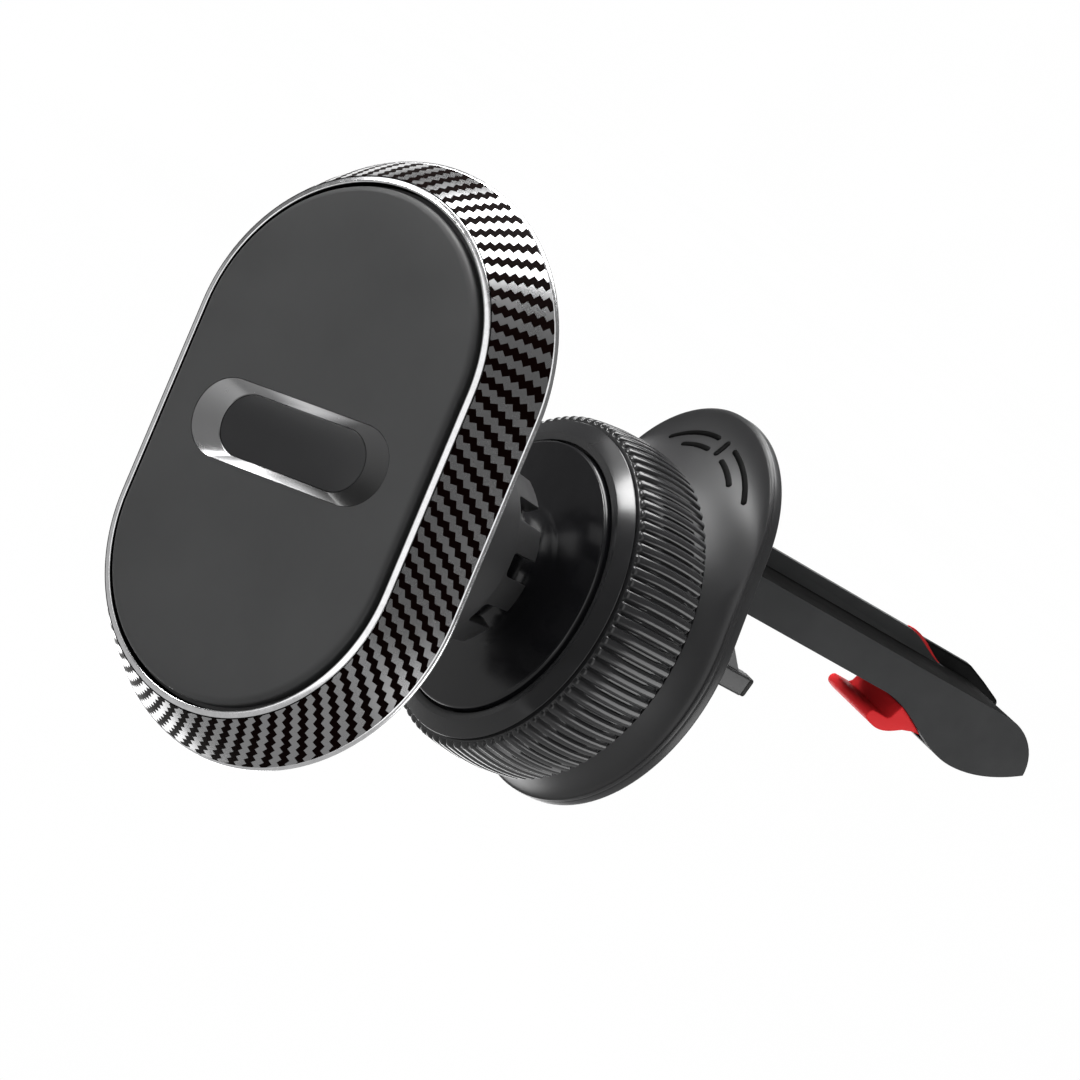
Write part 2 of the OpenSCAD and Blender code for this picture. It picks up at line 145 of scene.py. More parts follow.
def stations_stadium(half, middle_r, count=96, straight=10):
    """Steps round a stadium whose straight sides run along Y, with the way round by length."""
    arc = math.pi * middle_r
    total = 2 * arc + 4 * half
    steps = []
    for k in range(count // 2 + 1):
        a = 2 * math.pi * k / count
        steps.append((math.cos(a), math.sin(a), half, arc * 2 * k / count / total))
    for k in range(1, straight):
        steps.append((-1.0, 0.0, half - 2 * half * k / straight,
                      (arc + 2 * half * k / straight) / total))
    for k in range(count // 2 + 1):
        a = math.pi + 2 * math.pi * k / count
        steps.append((math.cos(a), math.sin(a), -half,
                      (arc + 2 * half + arc * 2 * k / count) / total))
    for k in range(1, straight):
        steps.append((1.0, 0.0, -half + 2 * half * k / straight,
                      (2 * arc + 2 * half + 2 * half * k / straight) / total))
    return steps


def sweep(profile, stations, closed=True):
    """Carries a profile of (radius, height) round the stations."""
    points, faces = [], []
    n = len(profile)
    for c, s, offset, _ in stations:
        points += [(r * c, r * s + offset, z) for r, z in profile]
    rows = len(stations)
    for i in range(rows):
        j = (i + 1) % rows
        for k in range(n if closed else n - 1):
            m = (k + 1) % n
            if profile[k][0] > 0 or profile[m][0] > 0:
                faces.append((i * n + k, j * n + k, j * n + m, i * n + m))
    return points, faces


def prism(outline, low, high):
    """An outline in the plane of X and Y, raised from low to high along Z."""
    n = len(outline)
    points = [(x, y, low) for x, y in outline] + [(x, y, high) for x, y in outline]
    faces = [tuple(range(n - 1, -1, -1)), tuple(range(n, 2 * n))]
    faces += [(k, (k + 1) % n, n + (k + 1) % n, n + k) for k in range(n)]
    return points, faces


def across(outline, x0, x1):
    """A side outline in the plane of Y and Z, stood up across the arm from x0 to x1."""
    points, faces = prism(outline, x0, x1)
    return [(z, x, y) for x, y, z in points], faces


def joined(*shapes):
    """Several shapes as one."""
    points, faces = [], []
    for more_points, more_faces in shapes:
        start = len(points)
        points += more_points
        faces += [tuple(start + i for i in face) for face in more_faces]
    return points, faces


def stadium_outline(half, r, count=48):
    """A stadium with its long way along X."""
    right = [(half + r * math.cos(a), r * math.sin(a)) for a in
             [math.pi * (k / count - 0.5) for k in range(count + 1)]]
    return right + [(-x, -y) for x, y in right]


def arc_points(cx, cy, r, start, end, count):
    """Points on an arc, with its angles in degrees."""
    return [(cx + r * math.cos(math.radians(start + (end - start) * k / count)),
             cy + r * math.sin(math.radians(start + (end - start) * k / count)))
            for k in range(count + 1)]


# ---- meshes ----
def mesh_from(name, shape, matrix=ROW):
    """A new object from a shape in millimetres, placed in the row frame in metres."""
    points, faces = shape
    mesh = bpy.data.meshes.new(name)
    mesh.from_pydata([tuple((matrix @ Vector(p)) * MM) for p in points], [], faces)
    shaped = bmesh.new()
    shaped.from_mesh(mesh)
    bmesh.ops.remove_doubles(shaped, verts=shaped.verts, dist=1e-7)
    bmesh.ops.recalc_face_normals(shaped, faces=shaped.faces)
    shaped.to_mesh(mesh)
    shaped.free()
    piece = bpy.data.objects.new(name, mesh)
    bpy.context.scene.collection.objects.link(piece)
    return piece


def settle(piece):
    """Applies a piece's modifiers to its mesh."""
    graph = bpy.context.evaluated_depsgraph_get()
    mesh = bpy.data.meshes.new_from_object(piece.evaluated_get(graph))
    piece.modifiers.clear()
    piece.data = mesh
    return piece


def cut(piece, shape, matrix=ROW, operation="DIFFERENCE"):
    """Takes a shape out of a piece, or adds it with operation UNION."""
    tool = mesh_from("tool", shape, matrix)
    change = piece.modifiers.new("cut", "BOOLEAN")
    change.operation = operation
    change.solver = "EXACT"
    change.object = tool
    settle(piece)
    bpy.data.objects.remove(tool)
    return piece


def bevel(piece, width, segments=3, angle=32):
    """Rounds a piece's edges by a width in millimetres."""
    change = piece.modifiers.new("bevel", "BEVEL")
    change.width = width * MM
    change.segments = segments
    change.limit_method = "ANGLE"
    change.angle_limit = math.radians(angle)
    change.use_clamp_overlap = True
    return settle(piece)


def smooth(piece, angle=32):
    """Smooth shading, with edges sharper than the angle kept crisp."""
    shaped = bmesh.new()
    shaped.from_mesh(piece.data)
    for face in shaped.faces:
        face.smooth = True
    for edge in shaped.edges:
        faces = edge.link_faces
        edge.smooth = len(faces) == 2 and edge.calc_face_angle(0.0) < math.radians(angle)
    shaped.to_mesh(piece.data)
    shaped.free()
    return piece


def dress(piece, body, node, material, angle=32):
    """Finishes a piece: shading, material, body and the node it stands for."""
    smooth(piece, angle)
    piece.data.materials.clear()
    piece.data.materials.append(material)
    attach(piece, body)
    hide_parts(node)
    return piece


# ---- materials ----
def material_base(name):
    """A new node material with its tree and its shader."""
    material = bpy.data.materials.new(name)
    material.use_nodes = True
    shader = material.node_tree.nodes["Principled BSDF"]
    return material, material.node_tree, shader


def link(tree, out_socket, in_socket):
    """Joins two sockets."""
    tree.links.new(out_socket, in_socket)


def noise(tree, scale, detail=4.0, rough=0.5):
    """Noise on the object's own coordinates; scale is in features per metre."""
    where = tree.nodes.new("ShaderNodeTexCoord")
    texture = tree.nodes.new("ShaderNodeTexNoise")
    texture.inputs["Scale"].default_value = scale
    texture.inputs["Detail"].default_value = detail
    texture.inputs["Roughness"].default_value = rough
    link(tree, where.outputs["Object"], texture.inputs["Vector"])
    return texture.outputs["Fac"]


def ranged(tree, value, low, high, new_low, new_high):
    """A value carried from one range to another."""
    node = tree.nodes.new("ShaderNodeMapRange")
    for name, number in (("From Min", low), ("From Max", high),
                         ("To Min", new_low), ("To Max", new_high)):
        node.inputs[name].default_value = number
    link(tree, value, node.inputs["Value"])
    return node.outputs["Result"]


def smooth_step(tree, value, low, high, new_low, new_high):
    """A smooth change from one level to another between two values."""
    result = ranged(tree, value, low, high, new_low, new_high)
    result.node.interpolation_type = "SMOOTHSTEP"
    return result


def mixed_color(tree, factor, first, second):
    """A colour between two others."""
    node = tree.nodes.new("ShaderNodeMix")
    node.data_type = "RGBA"
    node.inputs["A"].default_value = (*first, 1)
    node.inputs["B"].default_value = (*second, 1)
    link(tree, factor, node.inputs["Factor"])
    return node.outputs["Result"]


def math_node(tree, operation, first, second=None, third=None):
    """A math node's result; each operand is a number or a socket."""
    node = tree.nodes.new("ShaderNodeMath")
    node.operation = operation
    for socket, value in zip(node.inputs, (first, second, third)):
        if value is None:
            continue
        if isinstance(value, (int, float)):
            socket.default_value = value
        else:
            link(tree, value, socket)
    return node.outputs[0]


def bump(tree, shader, height, strength, distance):
    """Relief on a shader from a height."""
    node = tree.nodes.new("ShaderNodeBump")
    node.inputs["Strength"].default_value = strength
    node.inputs["Distance"].default_value = distance
    link(tree, height, node.inputs["Height"])
    link(tree, node.outputs["Normal"], shader.inputs["Normal"])


def plastic(name, dark, light, rough, rough_spread, grain_scale, grain_depth, specular=0.5):
    """Moulded plastic or rubber: fine grain, uneven gloss and faint colour variation."""
    material, tree, shader = material_base(name)
    broad = noise(tree, 90, 3)
    fine = noise(tree, grain_scale, 3, 0.6)
    link(tree, mixed_color(tree, ranged(tree, broad, 0.3, 0.7, 0, 1), dark, light),
         shader.inputs["Base Color"])
    link(tree, ranged(tree, noise(tree, 420, 5, 0.65), 0.3, 0.7,
                      rough - rough_spread, rough + rough_spread), shader.inputs["Roughness"])
    shader.inputs["Specular IOR Level"].default_value = specular
    bump(tree, shader, fine, 0.35, grain_depth * MM)
    return material


def metal(name, color, rough, brushed_scale=900, depth=0.003):
    """Bright metal with a fine brushed grain."""
    material, tree, shader = material_base(name)
    shader.inputs["Metallic"].default_value = 1.0
    grain = noise(tree, brushed_scale, 6, 0.7)
    darker = tuple(c * 0.86 for c in color)
    link(tree, mixed_color(tree, ranged(tree, grain, 0.35, 0.65, 0, 1), darker, color),
         shader.inputs["Base Color"])
    link(tree, ranged(tree, grain, 0.3, 0.7, rough * 0.75, rough * 1.25),
         shader.inputs["Roughness"])
    bump(tree, shader, grain, 0.2, depth * MM)
    return material


# Carbon cloth: a two-by-two twill that leans over on the upper part of the head
WARP_COUNT = 105              # warp yarns round the head
WEFT_COUNT = -243             # weft yarns round the head, counted the other way
YARNS_PER_DEPTH = 0.836       # yarns of either kind per millimetre of depth
WEAVE_MAP = "weave"


def carbon(name):
    """Carbon twill, drawn on the sleeve's own map of way round and depth."""
    material, tree, shader = material_base(name)
    uv = tree.nodes.new("ShaderNodeUVMap")
    uv.uv_map = WEAVE_MAP
    split = tree.nodes.new("ShaderNodeSeparateXYZ")
    link(tree, uv.outputs["UV"], split.inputs["Vector"])
    way, depth = split.outputs["X"], split.outputs["Y"]
    turned = math_node(tree, "FRACT", math_node(tree, "ADD", way, 0.45))
    falling = smooth_step(tree, turned, 0.33, 0.54, 0.4, 0.03)
    rising = smooth_step(tree, turned, 0.74, 0.98, 0.0, 0.37)
    lean = math_node(tree, "ADD", falling, rising)
    warp_rate = math_node(tree, "MULTIPLY_ADD", lean, 1.267, YARNS_PER_DEPTH)
    weft_rate = math_node(tree, "MULTIPLY_ADD", lean, -2.18, YARNS_PER_DEPTH)
    warp = math_node(tree, "MULTIPLY_ADD", way, WARP_COUNT,
                     math_node(tree, "MULTIPLY", warp_rate, depth))
    weft = math_node(tree, "MULTIPLY_ADD", way, WEFT_COUNT,
                     math_node(tree, "MULTIPLY", weft_rate, depth))
    diagonal = math_node(tree, "SUBTRACT", math_node(tree, "FLOOR", warp),
                         math_node(tree, "FLOOR", weft))
    place = math_node(tree, "FRACT", math_node(tree, "MULTIPLY_ADD", diagonal, 0.25, 0.05))
    light_yarn = math_node(tree, "GREATER_THAN", place, 0.5)
    ply = math_node(tree, "FRACT", math_node(tree, "MULTIPLY", warp, 6.0))
    fibre = ranged(tree, math_node(tree, "ABSOLUTE", math_node(tree, "SUBTRACT", ply, 0.5)),
                   0, 0.5, 0.9, 1.0)
    yarn = math_node(tree, "MULTIPLY", light_yarn, fibre)
    link(tree, mixed_color(tree, yarn, (0.003, 0.0008, 0.0006), (0.40, 0.40, 0.405)),
         shader.inputs["Base Color"])
    link(tree, math_node(tree, "MULTIPLY", light_yarn, 0.95), shader.inputs["Metallic"])
    uneven = noise(tree, 260, 3)
    link(tree, math_node(tree, "ADD", ranged(tree, light_yarn, 0, 1, 0.5, 0.27),
                         ranged(tree, uneven, 0.3, 0.7, -0.02, 0.02)), shader.inputs["Roughness"])
    shader.inputs["Specular IOR Level"].default_value = 0.01
    return material


TRIM_MAP = "way_round"


def chrome_painted_highlights(name):
    """Polished trim with painted highlights: its base colour runs from dark to bright and back along
    the ring, as painted reflections of the lights with painted shade between them.
    """
    material, tree, shader = material_base(name)
    uv = tree.nodes.new("ShaderNodeUVMap")
    uv.uv_map = TRIM_MAP
    split = tree.nodes.new("ShaderNodeSeparateXYZ")
    link(tree, uv.outputs["UV"], split.inputs["Vector"])
    ramp = tree.nodes.new("ShaderNodeValToRGB")
    ramp.color_ramp.interpolation = "EASE"
    # Painted highlights and shade: bright stops where the lights would reflect, dark stops between
    # them.
    painted_highlight_tones = ((0.0, 0.06), (0.22, 0.16), (0.36, 1.0), (0.47, 0.35), (0.62, 0.16),
             (0.73, 0.3), (0.80, 1.0), (0.90, 0.3))
    stops = ramp.color_ramp.elements
    for stop, (place, tone) in zip((stops[0], stops[1]), (painted_highlight_tones[0], (1.0, painted_highlight_tones[0][1]))):
        stop.position, stop.color = place, (tone, tone, tone, 1)
    for place, tone in painted_highlight_tones[1:]:
        stops.new(place).color = (tone, tone, tone * 1.01, 1)
    link(tree, split.outputs["X"], ramp.inputs["Fac"])
    link(tree, ramp.outputs["Color"], shader.inputs["Base Color"])
    shader.inputs["Metallic"].default_value = 1.0
    link(tree, ranged(tree, noise(tree, 240, 3), 0.3, 0.7, 0.24, 0.28), shader.inputs["Roughness"])
    return material


PAD = plastic("soft_touch_pad", (0.037, 0.0375, 0.038), (0.044, 0.0445, 0.045),
              0.5, 0.05, 5200, 0.012, 0.35)
BADGE = plastic("badge_dark", (0.010, 0.010, 0.011), (0.013, 0.013, 0.014),
                0.42, 0.04, 4200, 0.008, 0.4)
BRIGHT = metal("satin_bright_metal", (0.9, 0.9, 0.91), 0.2)
# Badge trim whose base colour carries painted highlights along its ring.
TRIM = chrome_painted_highlights("trim_painted_highlights")
CARBON = carbon("carbon_twill")
HOUSING = plastic("moulded_housing", (0.032, 0.032, 0.033), (0.040, 0.040, 0.041),
                  0.4, 0.05, 3600, 0.006)
POLISHED = plastic("satin_black", (0.005, 0.005, 0.006), (0.007, 0.007, 0.008),
                   0.2, 0.03, 2600, 0.003)
KNOB_MATERIAL = plastic("knob_black", (0.020, 0.020, 0.021), (0.027, 0.027, 0.028),
                        0.17, 0.02, 3800, 0.002)
PLATE_MATERIAL = plastic("plate_black", (0.019, 0.019, 0.020), (0.026, 0.026, 0.027),
                         0.38, 0.015, 3200, 0.003)
HOOK_MATERIAL = plastic("hook_black", (0.042, 0.043, 0.044), (0.052, 0.053, 0.054),
                        0.6, 0.06, 3400, 0.014, 0.12)
# Near-black painted shade: for the far cheek, and for the tab's mark as the shade in its lettering.
PAINTED_SHADE_BLACK = plastic("painted_shade_black", (0.001, 0.001, 0.001), (0.002, 0.002, 0.002),
                     0.5, 0.05, 3000, 0.006, 0.05)
# Near-black painted shade for the groove between the pad and the front rim.
GROOVE_SHADE = plastic("groove_painted_shade", (0.001, 0.001, 0.001), (0.002, 0.002, 0.002),
                 0.6, 0.05, 3000, 0.004, 0.03)
# Near-black painted shade for the arm's top faces, darker because light falls on them less.
ARM_TOP_SHADE = plastic("arm_top_painted_shade", (0.002, 0.002, 0.002), (0.003, 0.003, 0.003),
                       0.7, 0.05, 3400, 0.01, 0.02)
JAW_MATERIAL = plastic("red_silicone", (0.80, 0.020, 0.026), (0.90, 0.032, 0.036),
                       0.55, 0.05, 2600, 0.008, 0.12)
RUBBER = plastic("foot_rubber", (0.012, 0.012, 0.012), (0.018, 0.018, 0.018),
                 0.62, 0.06, 2400, 0.02, 0.3)
STEEL = metal("zinc_steel", (0.62, 0.63, 0.65), 0.3, 1400, 0.004)
NICKEL = metal("nickel_plate", (0.72, 0.71, 0.69), 0.16, 700, 0.002)
NYLON = plastic("nylon_washer", (0.70, 0.69, 0.64), (0.76, 0.75, 0.70), 0.45, 0.05, 2000, 0.01)
SEAT = plastic("seat_grey", (0.09, 0.09, 0.10), (0.12, 0.12, 0.13), 0.4, 0.05, 2400, 0.01)


# ---- head ----
BODY_HEAD = "head"


def head_stations():
    """Steps round the head's stadium, spaced by the length of its way at WAY_R."""
    return stations_stadium(HALF, WAY_R, 128, 16)


def build_pad():
    """Soft pad with a rounded edge and a slot-shaped opening for the badge."""
    edge = 0.85
    outer = 18.1
    profile = [(outer, -1.0), (outer, PAD_RAISE - edge)]
    profile += [(outer - edge + edge * math.cos(a), PAD_RAISE - edge + edge * math.sin(a))
                for a in [math.pi / 2 * k / 6 for k in range(1, 7)]]
    profile += [(12.0, PAD_RAISE), (6.0, PAD_RAISE), (0.0, PAD_RAISE), (0.0, -1.0)]
    piece = mesh_from("soft_pad", sweep(profile, head_stations()), HEAD)
    opening = prism(stadium_outline(BADGE_HALF, BADGE_R + 0.01), -2.0, 2.0)
    cut(piece, opening, HEAD)
    return dress(piece, BODY_HEAD, "phone_pad", PAD, 40)


def build_badge():
    """Trim ring flush with the pad, sloping in to the dark insert, with a map of way round."""
    rings = 48
    inner_half, inner_r = 6.5, BADGE_R - 1.0
    profile = [(BADGE_HALF, BADGE_R - 0.02, -0.9), (BADGE_HALF, BADGE_R - 0.02, 0.72),
               (BADGE_HALF, BADGE_R - 0.05, 0.75), (inner_half + 0.05, inner_r + 0.06, 0.16),
               (inner_half, inner_r, 0.08), (inner_half, inner_r, -0.9)]
    outlines = [(stadium_outline(half, r, rings), z) for half, r, z in profile]
    count = len(outlines[0][0])
    points = [(x, y, z) for outline, z in outlines for x, y in outline]
    faces = []
    for i in range(len(outlines)):
        j = (i + 1) % len(outlines)
        for k in range(count):
            m = (k + 1) % count
            faces.append((i * count + k, i * count + m, j * count + m, j * count + k))
    trim = mesh_from("badge_trim_ring", (points, faces), HEAD)
    arc, side = math.pi * BADGE_R, 2 * BADGE_HALF
    total = 2 * (arc + side)
    places = [arc * k / rings / total for k in range(rings + 1)]
    places += [0.5 + place for place in places]
    # The way round carries the trim's painted highlights.
    ways = trim.data.uv_layers.new(name=TRIM_MAP)
    for face in trim.data.polygons:
        columns = [v % count for v in face.vertices]
        wraps = max(columns) - min(columns) > 1
        for corner in face.loop_indices:
            column = trim.data.loops[corner].vertex_index % count
            ways.data[corner].uv = (1.0 if wraps and column == 0 else places[column], 0.0)
    dress(trim, BODY_HEAD, "badge_trim", TRIM, 22)
    insert = mesh_from("badge_face", prism(stadium_outline(inner_half, inner_r - 0.03, rings),
                                           -0.9, 0.08), HEAD)
    bevel(insert, 0.12, 2)
    dress(insert, BODY_HEAD, "badge_insert", BADGE)


def build_rims():
    """Bright rims in front of and behind the carbon wall; the front one's inner wall towards the pad is
    painted near-black as the groove's shade.
    """
    front = [(18.64, -1.5), (18.64, -0.1), (18.68, -0.03), (18.76, 0.0), (18.86, 0.0),
             (18.94, -0.02), (19.34, -0.2), (19.39, -0.25), (19.4, -0.34), (19.36, -1.5)]
    piece = mesh_from("front_rim_band", sweep(front, head_stations()), HEAD)
    dress(piece, BODY_HEAD, "front_rim", BRIGHT, 50)
    # The rim's inner wall gets the painted groove shade.
    piece.data.materials.append(GROOVE_SHADE)
    for face in piece.data.polygons:
        if face.index % len(front) == 0:
            face.material_index = 1
    rear = [(REAR_R - 1.6, -FLARE_DEPTH - 0.29), (REAR_R - 0.3, -FLARE_DEPTH - 0.29),
            (REAR_R - 0.1, -FLARE_DEPTH - 0.2), (REAR_R - 0.01, -FLARE_DEPTH),
            (REAR_R - 0.05, -FLARE_DEPTH + 0.25), (REAR_R - 0.2, -FLARE_DEPTH + 0.42),
            (REAR_R - 0.34, -FLARE_DEPTH + 0.48), (REAR_R - 1.6, -FLARE_DEPTH + 0.48)]
    piece = mesh_from("rear_rim_band", sweep(rear, head_stations()), HEAD)
    dress(piece, BODY_HEAD, "rear_rim", BRIGHT, 50)


def flare_radius(depth):
    """Corner radius of the carbon wall at a depth behind the front rim."""
    return FRONT_R + (REAR_R - 0.3 - FRONT_R) * depth / (FLARE_DEPTH - 0.5)


def build_sleeve():
    """Flared side wall with its own map: way round the head and depth in millimetres."""
    stops = 18
    outer = []
    for k in range(stops + 1):
        depth = 0.3 + (FLARE_DEPTH - 0.5 - 0.3) * k / stops
        swell = 0.15 * math.sin(math.pi * k / stops)
        outer.append((flare_radius(depth) + swell, -depth))
    profile = outer + [(REAR_R - 1.4, -FLARE_DEPTH + 0.5), (FRONT_R + 0.02, -1.65)]
    stations = head_stations()
    piece = mesh_from("carbon_wall", sweep(profile, stations), HEAD)
    mesh = piece.data
    weave = mesh.uv_layers.new(name=WEAVE_MAP)
    lengths = [0.0]
    for (r0, z0), (r1, z1) in zip(outer, outer[1:]):
        lengths.append(lengths[-1] + math.hypot(r1 - r0, z1 - z0))
    lengths += [lengths[-1] + 1.0, lengths[-1] + 9.0]
    n = len(profile)
    for face in mesh.polygons:
        rows = [v // n for v in face.vertices]
        wraps = max(rows) - min(rows) > 1
        for corner in face.loop_indices:
            vertex = mesh.loops[corner].vertex_index
            way = stations[vertex // n][3]
            if wraps and vertex // n == 0:
                way = 1.0
            weave.data[corner].uv = (way, lengths[vertex % n])
    dress(piece, BODY_HEAD, "carbon_sleeve", CARBON, 40)


def build_cover():
    """Rear cover of the head, with rounded shoulders, screw wells and the collet's opening."""
    seam_front, seam_back, seam_floor = -7.86, -7.98, REAR_R - 1.9
    seam = [(REAR_R - 1.68, seam_front), (seam_floor, seam_front), (seam_floor, seam_back),
            (REAR_R - 1.71, seam_back)]
    shoulder = rounded([(REAR_R - 1.66, -6.9, 0), (REAR_R - 1.66, -8.25, 1.3),
                        (REAR_R - 3.6, -9.75, 3.0), (REAR_R - 7.2, COVER_BACK, 3.0),
                        (8.0, COVER_BACK, 0)], 6)
    profile = [(0.0, COVER_FRONT), (REAR_R - 1.66, COVER_FRONT)]
    profile += [point for point in shoulder[1:] if point[1] > seam_front] + seam
    profile += [point for point in shoulder[1:] if point[1] < seam_back] + [(0.0, COVER_BACK)]
    piece = mesh_from("head_back", sweep(profile, head_stations()), HEAD)
    ring = stations_round(96)
    cut(piece, sweep([(0.0, -12.0), (12.97, -12.0), (12.97, -8.5), (16.06, -8.5), (16.06, -5.0),
                      (0.0, -5.0)], ring), HEAD @ Matrix.Translation((0, -SOCKET_DROP, 0)))
    for sx in (-1, 1):
        for sy in (-1, 1):
            well = sweep([(0.0, -13.0), (2.3, -13.0), (2.3, -10.9), (2.06, -10.7), (2.06, -9.38),
                          (1.2, -9.38), (1.2, -4.0), (0.0, -4.0)], stations_round(40))
            cut(piece, well, HEAD @ Matrix.Translation((WELL_X * sx, WELL_Y * sy, 0)))
    dress(piece, BODY_HEAD, "rear_cover", HOUSING, 35)


def build_collet():
    """Petal collet: a round wall cut into fingers, soft at the tips."""
    fingers = 12
    root = REACH + COVER_FRONT
    fit = BALL_R + 0.06                 # runs close round the ball
    fit_low, fit_high = -3.2, 6.6
    wall = rounded([(12.9, root - 1.8, 0), (12.9, 2.0, 2.0), (12.42, -TIP_PAST + 0.1, 0.45),
                    (10.6, -TIP_PAST, 0.25), (10.6, fit_low, 0)], 5)
    inner = []
    for k in range(14):
        height = fit_low + (fit_high - fit_low) * k / 13
        inner.append((math.sqrt(fit ** 2 - height ** 2), height))
    relief = BALL_R + 1.2               # room for the ball's seat, which doesn't turn with the collet
    bore, back = 8.66, 14.56            # the cushion's pocket
    pocket = math.sqrt(relief ** 2 - bore ** 2)
    for k in range(4):
        height = fit_high + (pocket - fit_high) * k / 3
        inner.append((math.sqrt(relief ** 2 - height ** 2), height))
    inner += [(bore, back), (0.0, back), (0.0, root), (16.0, root), (16.0, root - 1.8)]
    piece = mesh_from("collet", sweep(wall + inner, stations_round(144)), SOCKET)
    slot_w, slot_len, corner, screw_r = 2.9, 5.7, 0.7, 14.4
    for k in range(fingers):
        outline = rounded([(-slot_w / 2, -TIP_PAST - 1, 0), (slot_w / 2, -TIP_PAST - 1, 0),
                           (slot_w / 2, slot_len - TIP_PAST, corner),
                           (-slot_w / 2, slot_len - TIP_PAST, corner)], 6)
        points, faces = prism(outline, 7.0, 15.0)
        turn = Matrix.Rotation(2 * math.pi * k / fingers, 4, "Z")
        slot_shape = ([(z, x, y) for x, y, z in points], faces)
        cut(piece, slot_shape, SOCKET @ turn)
    for k in range(4):
        turn = Matrix.Rotation(math.pi * (0.25 + 0.5 * k), 4, "Z")
        hole = sweep([(0.0, root - 4), (0.8, root - 4), (0.8, root + 2), (0.0, root + 2)],
                     stations_round(24))
        cut(piece, hole, SOCKET @ turn @ Matrix.Translation((screw_r, 0, 0)))
    bevel(piece, 0.22, 2, 50)
    dress(piece, BODY_HEAD, "socket_collet", HOUSING, 40)


# ---- stem and knob ----
def build_stud():
    """Ball, bell-shaped neck and disc as one smooth turned piece."""
    neck_r, disc_r, edge = 5.4, 17.0, 0.42
    profile = [(0.0, DISC_REAR), (disc_r, DISC_REAR), (disc_r, DISC_Z - 0.45)]
    profile += arc_points(disc_r - edge, DISC_Z - edge, edge, 0, 90, 5)
    bell_r, bell_h = 3.5, 3.5
    foot_r = neck_r + bell_r
    profile += [(foot_r + 0.5, DISC_Z), (foot_r + 0.35, DISC_Z + 0.03), (foot_r + 0.1, DISC_Z + 0.14)]
    for k in range(1, 15):
        a = math.pi / 2 * k / 14
        profile.append((foot_r - bell_r * math.sin(a), DISC_Z + 0.2 + bell_h * (1 - math.cos(a))))
    start = math.asin(neck_r / BALL_R)
    for k in range(41):
        a = start + (math.pi - start) * k / 40
        profile.append((BALL_R * math.sin(a), BALL_Z - BALL_R * math.cos(a)))
    profile += [(0.0, DISC_REAR)]
    piece = mesh_from("ball_and_disc", sweep(profile, stations_round(160)), KNOB)
    bore = sweep([(0.0, 24.0), (2.02, 24.0), (2.02, 33.6), (0.0, 33.6)], stations_round(48))
    cut(piece, bore, KNOB)
    dress(piece, "base", "ball_stud", POLISHED, 40)


def build_bezel():
    """Ring at the front of the knob: a narrow flat and a cone down to the grip."""
    profile = [(17.3, 25.34), (19.28, 25.34), (19.28, 26.86), (20.0, 26.86), (20.14, 26.92),
               (20.19, 27.0), (20.14, 27.08), (18.36, 27.97), (18.26, 28.0), (17.5, 28.0),
               (17.36, 27.96), (17.3, 27.86)]
    piece = mesh_from("knob_front_ring", sweep(profile, stations_round(192)), KNOB)
    dress(piece, "knob", "knob_bezel", KNOB_MATERIAL, 16)


def barrel(z):
    """Radius of the grip between its ribs' tops, a little larger in the middle."""
    t = (z - GRIP_REAR) / (GRIP_FRONT - GRIP_REAR)
    return 21.45 - 0.55 * (2 * t - 0.9) ** 2


def build_grip():
    """Grip: a barrel with ninety long ribs, each with a rounded front end and a blunt rear end."""
    ribs, per_rib = 90, 14
    half_width, height, nose, inner_r = 0.63, 0.55, 0.45, 19.32
    first, last = GRIP_REAR + 0.12, GRIP_FRONT - 0.08
    pitch = 2 * math.pi / ribs
    columns = ribs * per_rib
    heights = [GRIP_REAR, first, first + 0.05, first + 0.12, first + 0.3]
    heights += [first + 0.3 + (last - first - 1.1) * k / 20 for k in range(1, 21)]
    heights += [last - 0.8 * (1 - math.sin(math.pi / 2 * k / 12)) for k in range(1, 13)]
    heights.append(GRIP_FRONT)
    points = []
    for z in heights:
        base_r = barrel(z) - 0.28
        front = math.sqrt(max(0.0, 1 - max(0.0, 1 - max(0.0, last - z) / nose) ** 2))
        rear = min(1.0, max(0.0, (z - first) / 0.12)) ** 0.5
        end = min(front, rear)
        for c in range(columns):
            a = c * 2 * math.pi / columns
            off = ((a + pitch / 2) % pitch - pitch / 2) * base_r
            width = half_width * (0.35 + 0.65 * front)
            bulge = 0.0
            if end > 1e-6 and abs(off) < width:
                bulge = height * end * (1 - (abs(off) / width) ** 2.6) ** 0.5
            r = base_r + bulge
            points.append((r * math.cos(a), r * math.sin(a), z))
    for z in (GRIP_FRONT, GRIP_REAR):
        for c in range(columns):
            a = c * 2 * math.pi / columns
            points.append((inner_r * math.cos(a), inner_r * math.sin(a), z))
    total_rows = len(heights) + 2
    faces = []
    for i in range(total_rows):
        j = (i + 1) % total_rows
        for c in range(columns):
            d = (c + 1) % columns
            faces.append((i * columns + c, i * columns + d, j * columns + d, j * columns + c))
    piece = mesh_from("ribbed_grip", (points, faces), KNOB)
    dress(piece, "knob", "grip_ring", KNOB_MATERIAL, 50)


# ---- plate and feet ----
NECK_R, BASE_R, TAB_R, TAB_Y = 20.4, 22.2, 17.0, 13.3
SCREW_CIRCLE = 18.2
FOOT_X, FOOT_W, FOOT_LOW, FOOT_HIGH = 14, 1.2, 3.5, 6.0     # middle, half width, bottom and top
RIM_T, RIM_SHARE = 0.5, 0.94
PLATE_RISE = PLATE_FRONT - PLATE_SEAM - RIM_T


